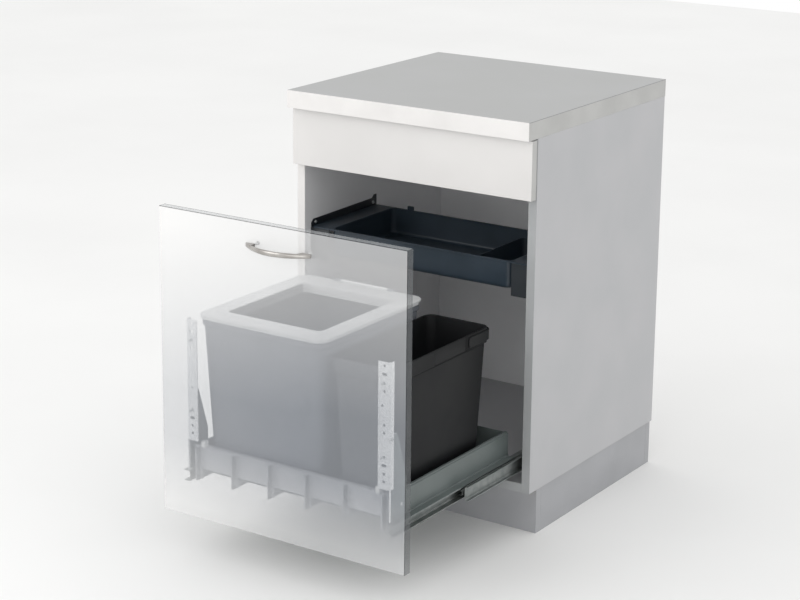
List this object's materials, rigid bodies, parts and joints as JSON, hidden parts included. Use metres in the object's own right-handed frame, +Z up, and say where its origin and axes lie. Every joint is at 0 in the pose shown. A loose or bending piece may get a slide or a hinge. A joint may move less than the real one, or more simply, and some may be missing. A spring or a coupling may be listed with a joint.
{
  "type": "pull out trash cabinet",
  "caption": "Kitchen base cabinet with a full-extension pull-out behind a see-through door, two bins, a bag clamp frame and a sliding utensil tray.",
  "frame": {"origin": "on the floor, at the middle of the plinth, under its centre rail", "axes": "+Z up, +X to the right and +Y to the back when one stands in front of the door"},
  "size_m": [0.6, 1.0642, 0.9],
  "materials": {
    "coated_board": "melamine faced, matt",
    "white_front": "laminated, satin",
    "laminate_worktop": "laminated, fine texture",
    "plinth_board": "melamine faced, matt",
    "zinc_steel": "zinc plated",
    "bracket_steel": "powder coated, light grey",
    "coated_steel": "powder coated, grey",
    "grey_moulding": "moulded, fine texture",
    "light_moulding": "moulded, fine texture",
    "bin_grey": "moulded, satin",
    "bin_black": "moulded, satin",
    "anthracite_plastic": "moulded, satin",
    "anthracite_steel": "powder coated, fine texture",
    "clear_acrylic": "cast sheet, polished edges",
    "satin_nickel": "satin nickel plated",
    "white_nylon": "moulded"
  },
  "bodies": {
    "cabinet": {"side_panel_left": "coated_board", "side_panel_right": "coated_board", "bottom_panel": "coated_board", "back_panel": "coated_board", "top_rail_front": "coated_board", "top_rail_back": "coated_board", "fascia_panel": "white_front", "worktop": "laminate_worktop", "plinth_front": "plinth_board", "plinth_back": "plinth_board", "plinth_side_left": "plinth_board", "plinth_side_right": "plinth_board", "plinth_centre_rail": "plinth_board", "runner_cabinet_left": "zinc_steel", "runner_cabinet_right": "zinc_steel", "tray_bracket_left": "anthracite_steel", "tray_bracket_right": "anthracite_steel", "tray_screw_left_1": "zinc_steel", "tray_screw_left_2": "zinc_steel", "tray_screw_right_1": "zinc_steel", "tray_screw_right_2": "zinc_steel"},
    "runner_middle": {"runner_middle_left": "zinc_steel", "runner_middle_right": "zinc_steel"},
    "outer_cages": {"outer_ball_cage_left": "white_nylon", "outer_ball_cage_right": "white_nylon"},
    "inner_cages": {"inner_ball_cage_left": "white_nylon", "inner_ball_cage_right": "white_nylon"},
    "pullout": {"runner_drawer_left": "zinc_steel", "runner_drawer_right": "zinc_steel", "side_rail_left": "coated_steel", "side_rail_right": "coated_steel", "front_rail": "grey_moulding", "back_rail": "coated_steel", "floor_plate": "coated_steel", "door_panel": "clear_acrylic", "door_handle": "satin_nickel", "handle_screw_left": "zinc_steel", "handle_screw_right": "zinc_steel", "door_bracket_left": "bracket_steel", "door_bracket_right": "bracket_steel", "gusset_left": "coated_steel", "gusset_right": "coated_steel", "gusset_rivet_left": "zinc_steel", "gusset_rivet_right": "zinc_steel", "bracket_rivet_left": "zinc_steel", "bracket_rivet_right": "zinc_steel", "bracket_screw_left_1": "zinc_steel", "bracket_screw_left_2": "zinc_steel", "bracket_screw_right_1": "zinc_steel", "bracket_screw_right_2": "zinc_steel", "bracket_clip_left": "white_nylon", "bracket_clip_right": "white_nylon"},
    "large_bin": {"large_bin": "bin_grey", "clamp_hinge_pin": "zinc_steel"},
    "clamp_frame": {"clamp_frame": "light_moulding"},
    "small_bin": {"small_bin": "bin_black"},
    "bail": {"bail_handle": "bin_black"},
    "tray": {"utensil_tray": "anthracite_plastic"},
    "tray_insert": {"tray_insert": "anthracite_plastic"}
  },
  "joints": [
    {"name": "pullout_slide", "type": "slide", "parent": "cabinet", "child": "pullout", "axis": [0, -1, 0], "range_m": [-0.448, 0]},
    {"name": "runner_middle_slide", "type": "slide", "parent": "cabinet", "child": "runner_middle", "axis": [0, -1, 0], "range_m": [-0.224, 0]},
    {"name": "outer_cage_slide", "type": "slide", "parent": "cabinet", "child": "outer_cages", "axis": [0, -1, 0], "range_m": [-0.112, 0]},
    {"name": "inner_cage_slide", "type": "slide", "parent": "cabinet", "child": "inner_cages", "axis": [0, -1, 0], "range_m": [-0.336, 0]},
    {"name": "large_bin_lift", "type": "slide", "parent": "pullout", "child": "large_bin", "axis": [0, 0, 1], "range_m": [0, 0.62]},
    {"name": "clamp_frame_hinge", "type": "hinge", "parent": "large_bin", "child": "clamp_frame", "pos_m": [-0.0825, -0.3502, 0.504], "axis": [-1, 0, 0], "range_deg": [0, 85]},
    {"name": "small_bin_lift", "type": "slide", "parent": "pullout", "child": "small_bin", "axis": [0, 0, 1], "range_m": [0, 0.6]},
    {"name": "bail_hinge", "type": "hinge", "parent": "small_bin", "child": "bail", "pos_m": [0.1605, -0.4362, 0.46], "axis": [1, 0, 0], "range_deg": [0, 120]},
    {"name": "tray_slide", "type": "slide", "parent": "cabinet", "child": "tray", "axis": [0, -1, 0], "range_m": [0, 0.16]},
    {"name": "tray_insert_lift", "type": "slide", "parent": "tray", "child": "tray_insert", "axis": [0, 0, 1], "range_m": [0, 0.07]}
  ],
  "couplings": [
    {"joint": "runner_middle_slide", "follows": "pullout_slide", "ratio": 0.5},
    {"joint": "outer_cage_slide", "follows": "pullout_slide", "ratio": 0.25},
    {"joint": "inner_cage_slide", "follows": "pullout_slide", "ratio": 0.75}
  ]
}
